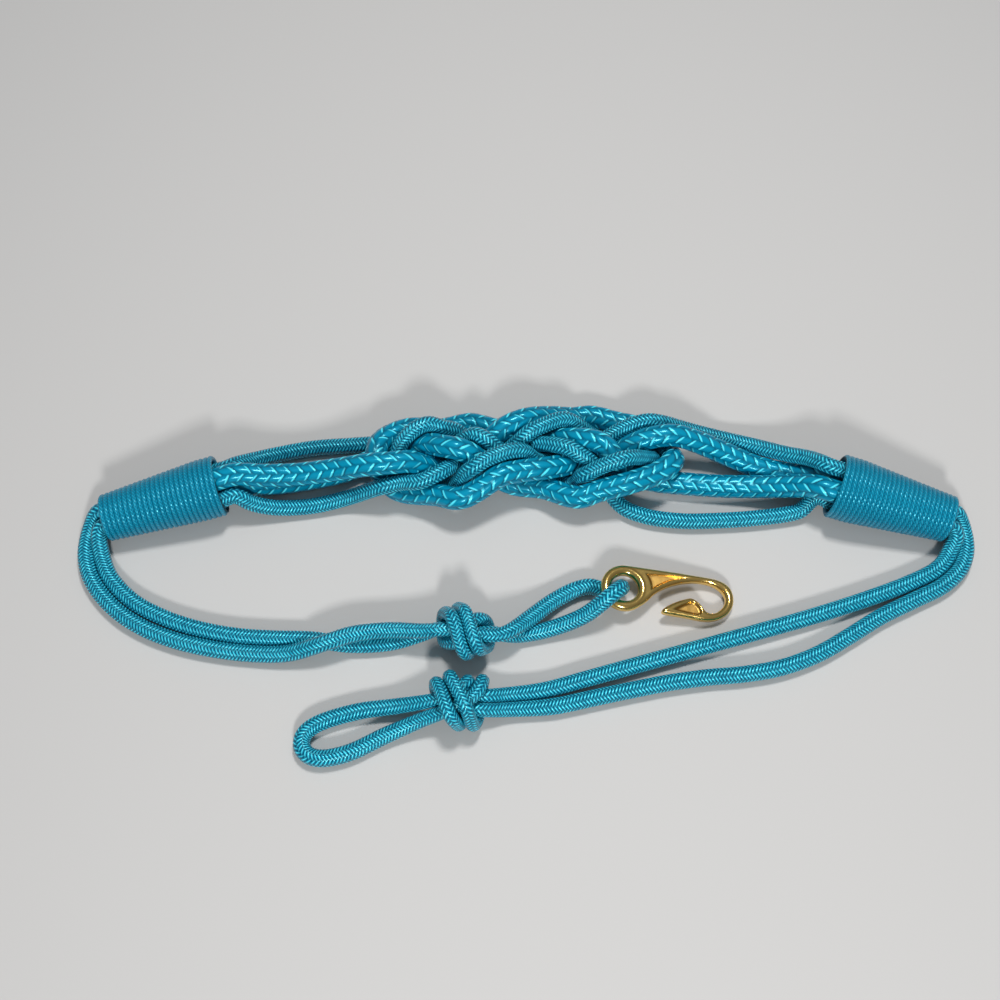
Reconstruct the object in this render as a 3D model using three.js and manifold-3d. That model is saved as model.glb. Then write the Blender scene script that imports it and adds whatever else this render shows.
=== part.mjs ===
// Rope belt: a centre knot of paired ropes between two whipped sleeves, with a tail to each side.
// The left tail carries a cast brass hook, the right tail ends in a loop that the hook takes.
// Millimetres. X runs along the belt, Y across the table, Z up, and Z = 0 is the table top.

import * as THREE from 'three';
import { mergeVertices } from 'three/addons/utils/BufferGeometryUtils.js';
import Module from 'manifold-3d';

// Driving dimensions: ropes
const THICK_DIAMETER = 8.6;
const THIN_DIAMETER = 6;
const CLEARANCE = 0.4;
const OWN_CLEARANCE = 0.12;
const THICK_SIDES = 10;
const THIN_SIDES = 8;
const STRAIGHT_STEP = 14;
const TURN_PER_STEP_DEGREES = 22;

// Driving dimensions: whipped sleeves
const WHIPPING_CORD = 1.9;
const WHIPPING_TURNS = 24;
const WHIPPING_GROOVE = 0.45;
const WHIPPING_SIDES = 14;
const SLEEVE_LENGTH = 45;
const ROPE_END_DEPTH = 6;
const SHOULDER_DEPTH = ROPE_END_DEPTH + 2;
const CORD_JOINT_DEPTH = 14;
const JOINT_GAP = 0.3;
const MOUTH_STRAIGHT = 6;
const TIP_STRAIGHT = 4.6;
const TIP_CLEARANCE = 0.7;

// Driving dimensions: hook
const HOOK_THICKNESS = 4;
const HOOK_BEVEL = 0.7;
const EYE_RADIUS = 8.7;
const EYE_HOLE_RADIUS = 5.1;
const HOOK_REACH = 40.6;
const TIP_BEVEL_SHARE = 0.0175;
const WEB_RECESS_DEPTH = 0.9;
const BARB_RECESS_DEPTH = 0.8;

// Places on the table: centre of a sleeve's mouth, the way its tip points, and the hook's eye
const LEFT_MOUTH = { x: -104, y: 40.5 };
const RIGHT_MOUTH = { x: 124.5, y: 40 };
const SLEEVE_SLOPE_DEGREES = 16;
const MOUTH_LIFT = 0.6;
const LEFT_KNOT = { x: -12.5, y: -16, headingDegrees: 188, rollDegrees: 65 };
const RIGHT_KNOT = { x: -13.5, y: -42, headingDegrees: 188, rollDegrees: 0 };
const HOOK_EYE = { x: 45, y: 1 };

const THICK_RADIUS = THICK_DIAMETER / 2;
const THIN_RADIUS = THIN_DIAMETER / 2;
const UP = new THREE.Vector3(0, 0, 1);

// Routes of the four ropes of the centre knot, chosen by hand on the table top.
// lift is the height of the rope over its lowest place, as a share of one thick rope.
const KNOT_ROUTES = {
  thickLeft: {
    columns: ['x', 'y', 'lift'],
    rows: [
      [-92, 42, 1.2], [-78, 43.5, 1.1], [-62, 45, 1.1], [-48, 46, 1.2], [-38, 46.5, 1.2],
      [-28, 47, 0.9], [-19, 49.5, 0.3], [-11, 53.5, 0], [-4, 58, 0.3], [2, 61, 1.1],
      [9, 64.5, 1.2], [16, 68, 0.7], [24, 70, 0.4], [33, 69.5, 0.2], [42, 68, 0], [53, 65, 0],
      [62, 61.5, 0.1], [68, 55, 0.5], [66, 48, 0.9], [57, 44.5, 1.2], [46, 43, 1.1],
      [34, 43, 0.6], [22, 44.5, 0.2], [11, 46, 0], [2, 47.5, 0.2], [-5, 49, 0.9],
      [-12, 51, 1.2], [-21, 53.5, 0.7], [-30, 55, 0.1], [-42, 54, 0], [-55, 50.5, 0],
      [-66, 48, 0], [-80, 45.5, 0.1], [-92, 43.5, 0.2],
    ],
  },
  thinLeft: {
    columns: ['x', 'y', 'lift'],
    rows: [
      [-93, 34, 0.5], [-79, 35, 0.2], [-66, 36.5, 0.2], [-54, 39.5, 0.6], [-45, 41, 1.1],
      [-36, 42.5, 1.3], [-27, 44.5, 1.2], [-19, 47, 0.7], [-11, 50, 0], [-4, 54, 0.4],
      [3, 56.5, 1.2], [9, 59.5, 1.3], [15, 63, 1.0], [23, 66, 0.7], [30, 65.5, 0.4],
      [38, 63.5, 0], [47, 61, 0], [56, 58.5, 0.2], [61, 55, 0.7], [55, 51.5, 1.2],
      [47, 49.5, 1.3], [38, 47.5, 1.0], [31, 47, 0.5], [23, 48, 0], [14, 50.5, 0], [6, 52, 0.4],
      [-2, 53.5, 1.1], [-10, 55.5, 1.2], [-17, 57, 0.9], [-24, 58, 0.5], [-31, 58.5, 0.1],
      [-38, 59.5, 0], [-50, 61.5, 0], [-66, 61.5, 0], [-81, 59, 0.2], [-93, 55, 0.4],
    ],
  },
  thickRight: {
    columns: ['x', 'y', 'lift'],
    rows: [
      [117, 46, 0.2], [106, 50, 0.1], [93, 55, 0.2], [79, 59, 0.7], [68, 60, 1.1], [58, 59.5, 1.2],
      [50, 58, 0.8], [43, 56, 0.2], [36, 54, 0], [28, 51.5, 0.4], [20, 49, 1.1],
      [11, 48, 1.2], [2, 46.5, 1.1], [-7, 45, 0.6], [-16, 43, 0.2], [-26, 42, 0],
      [-36, 42.5, 0], [-43, 45, 0], [-48, 49.5, 0], [-49, 54.5, 0.4], [-45.5, 59, 0.9],
      [-38, 61.5, 0.6], [-29, 63, 0.1], [-20, 63.5, 0], [-11, 63, 0], [-3, 62.5, 0], [6, 61.5, 0.1],
      [16, 60, 0.7], [26, 58, 1.1], [34, 56, 1.2], [42, 53.5, 0.8], [50, 51, 0.2],
      [59, 48, 0], [70, 45.5, 0], [84, 43.5, 0], [97, 43, 0.1], [108, 41.5, 0.4], [117, 40.5, 0.6],
    ],
  },
  thinRight: {
    columns: ['x', 'y', 'lift'],
    rows: [
      [117, 50.5, 0.9], [108, 54, 0.6], [96, 60, 0.3], [84, 65.5, 0.7], [73, 67.5, 1.1], [62, 67, 1.2],
      [53, 65.5, 1.1], [45, 63, 0.6], [38, 60.5, 0], [30, 57.5, 0], [22, 55, 0.4], [14, 53, 1.1],
      [6, 51.5, 1.2], [-2, 50, 1.1], [-10, 48.5, 0.6], [-18, 48.5, 0.1], [-27, 48.5, 0],
      [-34, 49.5, 0], [-39, 52, 0.3], [-40.5, 56, 0.8], [-36, 58.5, 1.1], [-29, 59.5, 1.2],
      [-20, 59, 1.0], [-12, 57.5, 0.2], [-4, 57, 0], [4, 57.5, 0.1], [12, 57, 0.8],
      [20, 56, 1.2], [28, 53.5, 1.2], [34, 50.5, 0.8], [39, 45.5, 0.2], [42, 39.5, 0],
      [46, 34.5, 0], [56, 31, 0], [69, 29.5, 0], [84, 30, 0], [98, 31, 0.1], [109, 32.5, 0.2],
      [117, 34, 0.3],
    ],
  },
};

// Hand-chosen routes of the tail legs from sleeve to stopper knot.
const TAIL_ROUTES = {
  leftOuter: {
    columns: ['x', 'y', 'lift'],
    rows: [
      [-154.5, 23, 0.1], [-155.5, 14, 0], [-151, 4, 0], [-142, -6, 0], [-127, -15, 0],
      [-105, -21, 0], [-84, -23, 0], [-70, -21.5, 0.4], [-60, -18.5, 0.8], [-50, -16, 0.6],
      [-38, -14, 0.5],
    ],
  },
  leftInner: {
    columns: ['x', 'y', 'lift'],
    rows: [
      [-150.5, 18, 0.1], [-148.5, 10.5, 0], [-144.5, 5, 0], [-138, -1.5, 0], [-124, -9, 0],
      [-104, -15, 0], [-84, -17.5, 0], [-70, -18.5, 0], [-60, -19.5, 0], [-50, -20, 0.1],
      [-38, -19.5, 0.3],
    ],
  },
  rightOuter: {
    columns: ['x', 'y', 'lift'],
    rows: [
      [175, 20, 0.1], [173.5, 11, 0], [168, 4.5, 0], [156, -0.5, 0], [142, -6, 0], [132, -12, 0],
      [120, -20.5, 0], [106, -27, 0], [90, -30.5, 0], [74, -31, 0], [58, -33.5, 0],
      [42, -37, 0], [26, -40.5, 0], [12, -44, 0.4],
    ],
  },
  rightInner: {
    columns: ['x', 'y', 'lift'],
    rows: [
      [169.5, 17.5, 0.1], [166.5, 11, 0], [160, 8, 0], [146, 2.5, 0], [129, -3.5, 0], [112, -9, 0],
      [96, -13.5, 0], [80, -18, 0], [64, -22.5, 0], [48, -27, 0], [34, -31, 0], [22, -34.5, 0],
      [12, -38, 0.4],
    ],
  },
};

// Both cords of a tail run through one overhand knot: in through the core, one turn round it,
// and out through the core again. along and reach are shares of the thin rope's diameter, turn is
// the angle round the knot's axis in degrees, and side is the way that the first cord lies off
// the middle of the pair: along the axis, across it and up.
const STOPPER_KNOT = {
  columns: ['along', 'reach', 'turn', 'sideAlong', 'sideAcross', 'sideUp'],
  rows: [
    [-2.9, 0.9, 270, 0, 1, 0],
    [-1.4, 0.56, 270, 0, 1, 0],
    [0, 0.54, 270, 0, 1, 0],
    [0.9, 0.62, 262, 0.25, 1, 0],
    [1.3, 1.15, 228, 0.8, 0.6, 0],
    [1.1, 1.46, 190, 1, 0, 0],
    [0.85, 1.5, 150, 1, 0, 0],
    [0.62, 1.5, 110, 1, 0, 0],
    [0.4, 1.5, 70, 1, 0, 0],
    [0.15, 1.5, 30, 1, 0, 0],
    [-0.1, 1.5, -10, 1, 0, 0],
    [-0.35, 1.5, -50, 1, 0, 0],
    [-0.6, 1.5, -90, 1, 0, 0],
    [-0.85, 1.5, -130, 1, 0, 0],
    [-1.15, 1.46, -165, 1, 0, 0],
    [-1.35, 1.2, -200, 0.8, -0.6, 0],
    [-0.95, 0.7, -245, 0.25, -1, 0],
    [0, 0.54, -270, 0, -1, 0],
    [1.4, 0.56, -270, 0, -1, 0],
    [2.9, 0.5, -280, 0, -1, 0],
  ],
};
const STOPPER_HEIGHT = 1.7;
const KNOT_REACH = 2.4 * THIN_DIAMETER;

// Pulled tight, a stopper knot and the cord in it are narrower: this share of their size is left
// at the knot's middle, and all of it from the outer end of the squeeze on.
const SQUEEZE_SHARE = 0.82;
const SQUEEZE_FULL = 2 * THIN_DIAMETER;
const SQUEEZE_NONE = 6 * THIN_DIAMETER;

// The bight of the left tail through the hook's eye, and the end loop of the right tail.
const LEFT_BIGHT = {
  columns: ['x', 'y', 'lift'],
  rows: [
    [15, -14, 0.3], [25, -12, 0.3], [33, -9.5, 0.7], [39, -5.5, 1.2], [44, -0.5, 1.1],
    [45.5, 3, 0.6], [42.5, 6.5, 0.1], [36, 7.5, 0], [28, 4, 0], [18, -1.5, 0.1],
  ],
};
const END_LOOP = {
  columns: ['x', 'y', 'lift'],
  rows: [
    [-40, -42, 0.4], [-50, -43, 0.1], [-60, -46, 0], [-69, -49.5, 0], [-73, -55, 0],
    [-70, -60.5, 0], [-61, -62, 0], [-49, -58, 0], [-41, -52, 0.3],
  ],
};

// Settling of the ropes
const SETTLE_ROUNDS = 420;
const FIRMING_ROUNDS = 260;
const BEND_SHARE = 0.32;
const CENTRE_HOLD_SHARE = 0.1;
const TAIL_HOLD_SHARE = 0.03;
const STOPPER_HOLD_SHARE = 0.08;
const SINK_PER_ROUND = 0.05;
const SPACING_SHARE = 0.6;
const CONTACT_SKIP = 1.7;

const COLOURS = {
  thick: 0x0093b0,
  thin: 0x0086a8,
  whipping: 0x008fae,
  brass: 0xc9a24a,
};

function material(colour, roughness, metalness) {
  return new THREE.MeshStandardMaterial({ color: colour, roughness, metalness });
}

function rowsOf(table) {
  return table.rows.map((row) => Object.fromEntries(table.columns.map((name, i) => [name, row[i]])));
}

// A route's rows as points: lift 0 lies on the table, lift 1 lies one thick rope higher.
function routePoints(table, radius) {
  const layer = THICK_DIAMETER + CLEARANCE;
  return rowsOf(table).map(({ x, y, lift }) => new THREE.Vector3(x, y, radius + lift * layer));
}

// A whipped sleeve's place and the seats of the four ropes inside it. The thick ropes lie on one
// line through the axis, and the thin cords in the notches to both sides of them.
function sleevePlan({ mouth, towards, seatAngle, spread }) {
  const slope = THREE.MathUtils.degToRad(SLEEVE_SLOPE_DEGREES);
  const flat = new THREE.Vector3(towards * Math.cos(slope), -Math.sin(slope), 0);
  const thickSeat = spread * (THICK_RADIUS + CLEARANCE / 2);
  const touching = THICK_RADIUS + THIN_RADIUS + CLEARANCE;
  const thinSeat = spread * Math.sqrt(touching ** 2 - (THICK_RADIUS + CLEARANCE / 2) ** 2);
  const core = Math.max(thickSeat + THICK_RADIUS, thinSeat + THIN_RADIUS) + CLEARANCE;
  const mouthRadius = core + WHIPPING_CORD;
  const tipSeat = THIN_RADIUS + CLEARANCE / 2;
  const tipRadius = tipSeat + THIN_RADIUS + TIP_CLEARANCE + WHIPPING_CORD;
  const mouthCentre = new THREE.Vector3(mouth.x, mouth.y, mouthRadius + MOUTH_LIFT);
  const tipCentre = mouthCentre.clone().addScaledVector(flat, SLEEVE_LENGTH);
  tipCentre.z = tipRadius;
  const axis = tipCentre.clone().sub(mouthCentre).normalize();
  const across = new THREE.Vector3().crossVectors(UP, axis).normalize();
  if (across.y < 0) across.negate();
  const upright = new THREE.Vector3().crossVectors(axis, across).normalize();
  if (upright.z < 0) upright.negate();
  const angle = THREE.MathUtils.degToRad(seatAngle);
  const thickWay = across.clone().multiplyScalar(Math.cos(angle)).addScaledVector(upright, Math.sin(angle));
  const thinWay = across.clone().multiplyScalar(Math.sin(angle)).addScaledVector(upright, -Math.cos(angle));
  const tipWay = across.clone().multiplyScalar(Math.sign(thinWay.dot(across)));
  const centreAt = (depth) => mouthCentre.clone().addScaledVector(axis, depth);
  const thickAt = (sign, depth) => centreAt(depth).addScaledVector(thickWay, sign * thickSeat);
  const thinAt = (sign, depth) => {
    const share = THREE.MathUtils.clamp((depth - ROPE_END_DEPTH) / (SLEEVE_LENGTH - ROPE_END_DEPTH), 0, 1);
    const fromMouth = thinWay.clone().multiplyScalar(thinSeat * (1 - share));
    const offset = fromMouth.addScaledVector(tipWay, tipSeat * share);
    return centreAt(depth).addScaledVector(offset, sign);
  };
  return { axis, mouthCentre, mouthRadius, tipRadius, core, thickAt, thinAt };
}

const leftSleeve = sleevePlan({ mouth: LEFT_MOUTH, towards: -1, seatAngle: 90, spread: 1 });
const rightSleeve = sleevePlan({ mouth: RIGHT_MOUTH, towards: 1, seatAngle: -35, spread: 1.12 });

// Straight run of a rope inside a sleeve and just out of its mouth, deepest point first.
function seatedRun(seat, sign, deepest, shallowest, count) {
  const run = [];
  for (let i = 0; i < count; i += 1) {
    run.push(seat(sign, THREE.MathUtils.lerp(deepest, shallowest, i / (count - 1))));
  }
  return run;
}

// Rope as evenly spaced points, with its seated ends held fast.
function makeStrand(name, radius, points, heldStart, heldEnd, inKnot = () => false) {
  const curve = new THREE.CatmullRomCurve3(points, false, 'centripetal');
  curve.arcLengthDivisions = 1500;
  const spacing = SPACING_SHARE * radius * 2;
  const count = Math.ceil(curve.getLength() / spacing);
  const path = curve.getSpacedPoints(count);
  const held = path.map((_, i) => {
    const along = (i / count) * curve.getLength();
    return along <= heldStart + 1e-6 || along >= curve.getLength() - heldEnd - 1e-6;
  });
  const firm = path.map(inKnot);
  return { name, radius, path, held, firm, home: path.map((p) => p.clone()), spacing };
}

function fixedStrand(name, radius, path) {
  return { name, radius, path, held: path.map(() => true), home: path.map((p) => p.clone()), spacing: 1 };
}

// Closest points of two short straight pieces, as shares along each.
function closestShares(a0, a1, b0, b1) {
  const ux = a1.x - a0.x, uy = a1.y - a0.y, uz = a1.z - a0.z;
  const vx = b1.x - b0.x, vy = b1.y - b0.y, vz = b1.z - b0.z;
  const wx = a0.x - b0.x, wy = a0.y - b0.y, wz = a0.z - b0.z;
  const a = ux * ux + uy * uy + uz * uz;
  const b = ux * vx + uy * vy + uz * vz;
  const c = vx * vx + vy * vy + vz * vz;
  const d = ux * wx + uy * wy + uz * wz;
  const e = vx * wx + vy * wy + vz * wz;
  const det = a * c - b * b;
  let s = det > 1e-9 ? (b * e - c * d) / det : 0.5;
  s = Math.min(1, Math.max(0, s));
  let t = c > 1e-9 ? (b * s + e) / c : 0.5;
  t = Math.min(1, Math.max(0, t));
  s = a > 1e-9 ? Math.min(1, Math.max(0, (b * t - d) / a)) : 0.5;
  return [s, t];
}

const gapVector = new THREE.Vector3();
function pushApart(first, i, second, j, need) {
  const a0 = first.path[i], a1 = first.path[i + 1];
  const b0 = second.path[j], b1 = second.path[j + 1];
  const [s, t] = closestShares(a0, a1, b0, b1);
  gapVector.set(
    a0.x + s * (a1.x - a0.x) - b0.x - t * (b1.x - b0.x),
    a0.y + s * (a1.y - a0.y) - b0.y - t * (b1.y - b0.y),
    a0.z + s * (a1.z - a0.z) - b0.z - t * (b1.z - b0.z),
  );
  const distance = gapVector.length();
  if (distance >= need || distance < 1e-6) return;
  gapVector.multiplyScalar((need - distance) / distance);
  const weights = [
    first.held[i] ? 0 : 1 - s, first.held[i + 1] ? 0 : s,
    second.held[j] ? 0 : 1 - t, second.held[j + 1] ? 0 : t,
  ];
  const total = weights.reduce((sum, w) => sum + w * w, 0);
  if (total === 0) return;
  const scale = 1 / Math.max(total, 0.5);
  a0.addScaledVector(gapVector, weights[0] * scale);
  a1.addScaledVector(gapVector, weights[1] * scale);
  b0.addScaledVector(gapVector, -weights[2] * scale);
  b1.addScaledVector(gapVector, -weights[3] * scale);
}

function clearContacts(strands) {
  for (let p = 0; p < strands.length; p += 1) {
    for (let q = p; q < strands.length; q += 1) {
      const first = strands[p], second = strands[q];
      const clearance = p === q ? OWN_CLEARANCE : CLEARANCE;
      const need = first.radius + second.radius + clearance;
      const near = (need + (first.spacing + second.spacing) / 2) ** 2;
      const skip = Math.ceil((CONTACT_SKIP * 2 * first.radius) / first.spacing);
      for (let i = 0; i + 1 < first.path.length; i += 1) {
        for (let j = p === q ? i + skip : 0; j + 1 < second.path.length; j += 1) {
          if (first.path[i].distanceToSquared(second.path[j]) < near) pushApart(first, i, second, j, need);
        }
      }
    }
  }
}

// Ropes laid by hand are let down on the table: each is kept smooth and near its chosen route,
// sinks a little, and is pushed clear of the others and of the table, round after round.
function settle(strands, holdShare) {
  for (let round = 0; round < SETTLE_ROUNDS + FIRMING_ROUNDS; round += 1) {
    const firming = round >= SETTLE_ROUNDS;
    const fade = firming ? 1 - (round - SETTLE_ROUNDS) / FIRMING_ROUNDS : 1;
    for (const strand of strands) {
      const before = strand.path.map((point) => point.clone());
      for (let i = 1; i + 1 < strand.path.length; i += 1) {
        if (strand.held[i]) continue;
        const point = strand.path[i];
        const bend = BEND_SHARE * fade;
        point.x += bend * ((before[i - 1].x + before[i + 1].x) / 2 - point.x);
        point.y += bend * ((before[i - 1].y + before[i + 1].y) / 2 - point.y);
        point.z += bend * ((before[i - 1].z + before[i + 1].z) / 2 - point.z);
        const hold = fade * (strand.firm[i] ? STOPPER_HOLD_SHARE : holdShare);
        point.x += hold * (strand.home[i].x - point.x);
        point.y += hold * (strand.home[i].y - point.y);
        if (strand.firm[i]) point.z += hold * (strand.home[i].z - point.z);
        else point.z -= SINK_PER_ROUND * fade;
      }
    }
    clearContacts(strands);
    for (const strand of strands) {
      strand.path.forEach((point, i) => {
        if (!strand.held[i]) point.z = Math.max(point.z, strand.radius);
      });
    }
  }
}

// The knot's pair of cords as two lists of points, from its entry to its exit.
function stopperPoints(knot) {
  const heading = THREE.MathUtils.degToRad(knot.headingDegrees);
  const along = new THREE.Vector3(Math.cos(heading), Math.sin(heading), 0);
  const roll = THREE.MathUtils.degToRad(knot.rollDegrees);
  const across = new THREE.Vector3().crossVectors(UP, along).applyAxisAngle(along, roll);
  const upright = UP.clone().applyAxisAngle(along, roll);
  const half = (THIN_DIAMETER + OWN_CLEARANCE) / 2;
  const middle = new THREE.Vector3(knot.x, knot.y, STOPPER_HEIGHT * THIN_DIAMETER);
  const legs = [[], []];
  for (const row of rowsOf(STOPPER_KNOT)) {
    const turn = THREE.MathUtils.degToRad(row.turn);
    const point = middle.clone()
      .addScaledVector(along, row.along * THIN_DIAMETER)
      .addScaledVector(across, row.reach * THIN_DIAMETER * Math.cos(turn))
      .addScaledVector(upright, row.reach * THIN_DIAMETER * Math.sin(turn));
    const side = new THREE.Vector3()
      .addScaledVector(along, row.sideAlong)
      .addScaledVector(across, row.sideAcross)
      .addScaledVector(upright, row.sideUp)
      .normalize();
    legs[0].push(point.clone().addScaledVector(side, half));
    legs[1].push(point.clone().addScaledVector(side, -half));
  }
  return legs;
}

// Ropes of the centre knot, each with both ends seated in one sleeve.
const SEAT_RUN = 4;
function knotStrand(name, radius, sleeve, table, seat, deepest, signs) {
  const start = seatedRun(seat, signs[0], deepest, -MOUTH_STRAIGHT, SEAT_RUN);
  const end = seatedRun(seat, signs[1], deepest, -MOUTH_STRAIGHT, SEAT_RUN).reverse();
  const held = deepest + MOUTH_STRAIGHT;
  return makeStrand(name, radius, [...start, ...routePoints(table, radius), ...end], held, held);
}

const knotStrands = [
  knotStrand('knot_rope_left', THICK_RADIUS, leftSleeve, KNOT_ROUTES.thickLeft,
    leftSleeve.thickAt, ROPE_END_DEPTH, [1, -1]),
  knotStrand('knot_cord_left', THIN_RADIUS, leftSleeve, KNOT_ROUTES.thinLeft,
    leftSleeve.thinAt, CORD_JOINT_DEPTH, [-1, 1]),
  knotStrand('knot_rope_right', THICK_RADIUS, rightSleeve, KNOT_ROUTES.thickRight,
    rightSleeve.thickAt, ROPE_END_DEPTH, [1, -1]),
  knotStrand('knot_cord_right', THIN_RADIUS, rightSleeve, KNOT_ROUTES.thinRight,
    rightSleeve.thinAt, CORD_JOINT_DEPTH, [-1, 1]),
];

// Hook: its plate lies tipped, the eye resting on the cord that runs under it.
const EYE_LIFT = THIN_DIAMETER + CLEARANCE;
const hookTip = Math.asin(EYE_LIFT / (HOOK_REACH + EYE_RADIUS));
const hookPose = new THREE.Matrix4()
  .makeTranslation(HOOK_EYE.x, HOOK_EYE.y, EYE_LIFT - EYE_RADIUS * Math.sin(hookTip))
  .multiply(new THREE.Matrix4().makeRotationY(hookTip));

function eyeRim() {
  const middle = (EYE_RADIUS + EYE_HOLE_RADIUS) / 2;
  const rim = [];
  const count = 24;
  for (let i = 0; i <= count; i += 1) {
    const turn = (i / count) * Math.PI * 2;
    const point = new THREE.Vector3(middle * Math.cos(turn), middle * Math.sin(turn), HOOK_THICKNESS / 2);
    rim.push(point.applyMatrix4(hookPose));
  }
  return fixedStrand('eye_rim', HOOK_THICKNESS / 2 + 0.1, rim);
}

// A tail is one cord: out of the sleeve, through the stopper knot, round its end and back.
function tailStrand(name, sleeve, firstSign, firstLeg, secondLeg, knot, endPoints) {
  const start = CORD_JOINT_DEPTH + JOINT_GAP;
  const past = SLEEVE_LENGTH + TIP_STRAIGHT;
  const run = 7;
  const legs = stopperPoints(knot);
  const fromExit = sleeve === leftSleeve;
  if (fromExit) legs.forEach((leg) => leg.reverse());
  const [knotOut, knotBack] = fromExit ? legs.reverse() : legs;
  const points = [
    ...seatedRun(sleeve.thinAt, firstSign, start, past, run),
    ...routePoints(firstLeg, THIN_RADIUS),
    ...knotOut,
    ...routePoints(endPoints, THIN_RADIUS),
    ...knotBack.reverse(),
    ...routePoints(secondLeg, THIN_RADIUS).reverse(),
    ...seatedRun(sleeve.thinAt, -firstSign, start, past, run).reverse(),
  ];
  const inKnot = (point) => Math.hypot(point.x - knot.x, point.y - knot.y) < KNOT_REACH;
  const strand = makeStrand(name, THIN_RADIUS, points, past - start, past - start, inKnot);
  return { ...strand, knot };
}

const leftTail = tailStrand('tail_cord_left', leftSleeve, 1, TAIL_ROUTES.leftOuter,
  TAIL_ROUTES.leftInner, LEFT_KNOT, LEFT_BIGHT);
const rightTail = tailStrand('tail_cord_right', rightSleeve, -1, TAIL_ROUTES.rightOuter,
  TAIL_ROUTES.rightInner, RIGHT_KNOT, END_LOOP);

settle(knotStrands, CENTRE_HOLD_SHARE);
settle([leftTail, rightTail, eyeRim()], TAIL_HOLD_SHARE);

// Curve along a settled rope that sets its rings closer together where the rope bends.
class RopeCurve extends THREE.CatmullRomCurve3 {
  constructor(points) {
    super(points, false, 'centripetal');
    this.arcLengthDivisions = 2000;
    const samples = points.length * 3;
    const arc = this.getLength() / samples;
    const most = THREE.MathUtils.degToRad(TURN_PER_STEP_DEGREES);
    const tangents = [];
    for (let i = 0; i <= samples; i += 1) {
      tangents.push(this.getTangent(super.getUtoTmapping(i / samples)));
    }
    this.paces = [0];
    for (let i = 0; i < samples; i += 1) {
      const low = Math.max(0, i - 2);
      const high = Math.min(samples, i + 3);
      const bend = tangents[low].angleTo(tangents[high]) / ((high - low) * arc);
      this.paces.push(this.paces[i] + arc * Math.max(1 / STRAIGHT_STEP, bend / most));
    }
    this.steps = Math.ceil(this.paces[samples]);
  }

  getUtoTmapping(u, distance) {
    if (distance || !this.paces) return super.getUtoTmapping(u, distance);
    const wanted = u * this.paces[this.paces.length - 1];
    let i = this.paces.findIndex((pace) => pace >= wanted);
    if (i < 1) i = i === 0 ? 1 : this.paces.length - 1;
    const share = (wanted - this.paces[i - 1]) / (this.paces[i] - this.paces[i - 1]);
    return super.getUtoTmapping((i - 1 + share) / (this.paces.length - 1));
  }
}

// Draws a solid in towards its stopper knot's foot on the table.
function squeeze(geometry, knot) {
  const foot = new THREE.Vector3(knot.x, knot.y, 0);
  const point = new THREE.Vector3();
  const places = geometry.attributes.position;
  for (let i = 0; i < places.count; i += 1) {
    point.fromBufferAttribute(places, i).sub(foot);
    const reach = Math.hypot(point.x, point.y);
    const share = THREE.MathUtils.smoothstep(reach, SQUEEZE_FULL, SQUEEZE_NONE);
    point.multiplyScalar(THREE.MathUtils.lerp(SQUEEZE_SHARE, 1, share)).add(foot);
    places.setXYZ(i, point.x, point.y, point.z);
  }
}

function ropeMesh(strand, sides, look) {
  const curve = new RopeCurve(strand.path);
  const outline = new THREE.Shape();
  for (let i = 0; i < sides; i += 1) {
    const turn = (i / sides) * Math.PI * 2;
    outline[i ? 'lineTo' : 'moveTo'](strand.radius * Math.cos(turn), strand.radius * Math.sin(turn));
  }
  outline.closePath();
  const geometry = new THREE.ExtrudeGeometry(outline, {
    steps: curve.steps,
    extrudePath: curve,
    bevelEnabled: false,
  });
  if (strand.knot) squeeze(geometry, strand.knot);
  const mesh = new THREE.Mesh(geometry, look);
  mesh.name = strand.name;
  return mesh;
}

// Sleeve of wound cord: a closed profile turned round the sleeve's axis, one rib for each turn.
function sleeveMesh(name, sleeve) {
  const outer = [];
  const halfTurn = SLEEVE_LENGTH / WHIPPING_TURNS / 2;
  const radiusAt = (depth) => {
    const share = THREE.MathUtils.clamp((depth - SHOULDER_DEPTH) / (SLEEVE_LENGTH - SHOULDER_DEPTH), 0, 1);
    return THREE.MathUtils.lerp(sleeve.mouthRadius, sleeve.tipRadius, share);
  };
  for (let i = 0; i <= WHIPPING_TURNS * 2; i += 1) {
    const depth = i * halfTurn;
    outer.push(new THREE.Vector2(radiusAt(depth) - (i % 2 ? 0 : WHIPPING_GROOVE), depth));
  }
  const inner = [SLEEVE_LENGTH, SHOULDER_DEPTH, 0].map(
    (depth) => new THREE.Vector2(radiusAt(depth) - WHIPPING_CORD, depth),
  );
  const profile = [...outer, ...inner];
  profile.push(profile[0].clone());
  const geometry = new THREE.LatheGeometry(profile, WHIPPING_SIDES, Math.PI / WHIPPING_SIDES);
  const mesh = new THREE.Mesh(geometry, material(COLOURS.whipping, 0.5, 0));
  mesh.name = name;
  mesh.position.copy(sleeve.mouthCentre);
  mesh.quaternion.setFromUnitVectors(new THREE.Vector3(0, 1, 0), sleeve.axis);
  return mesh;
}

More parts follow.
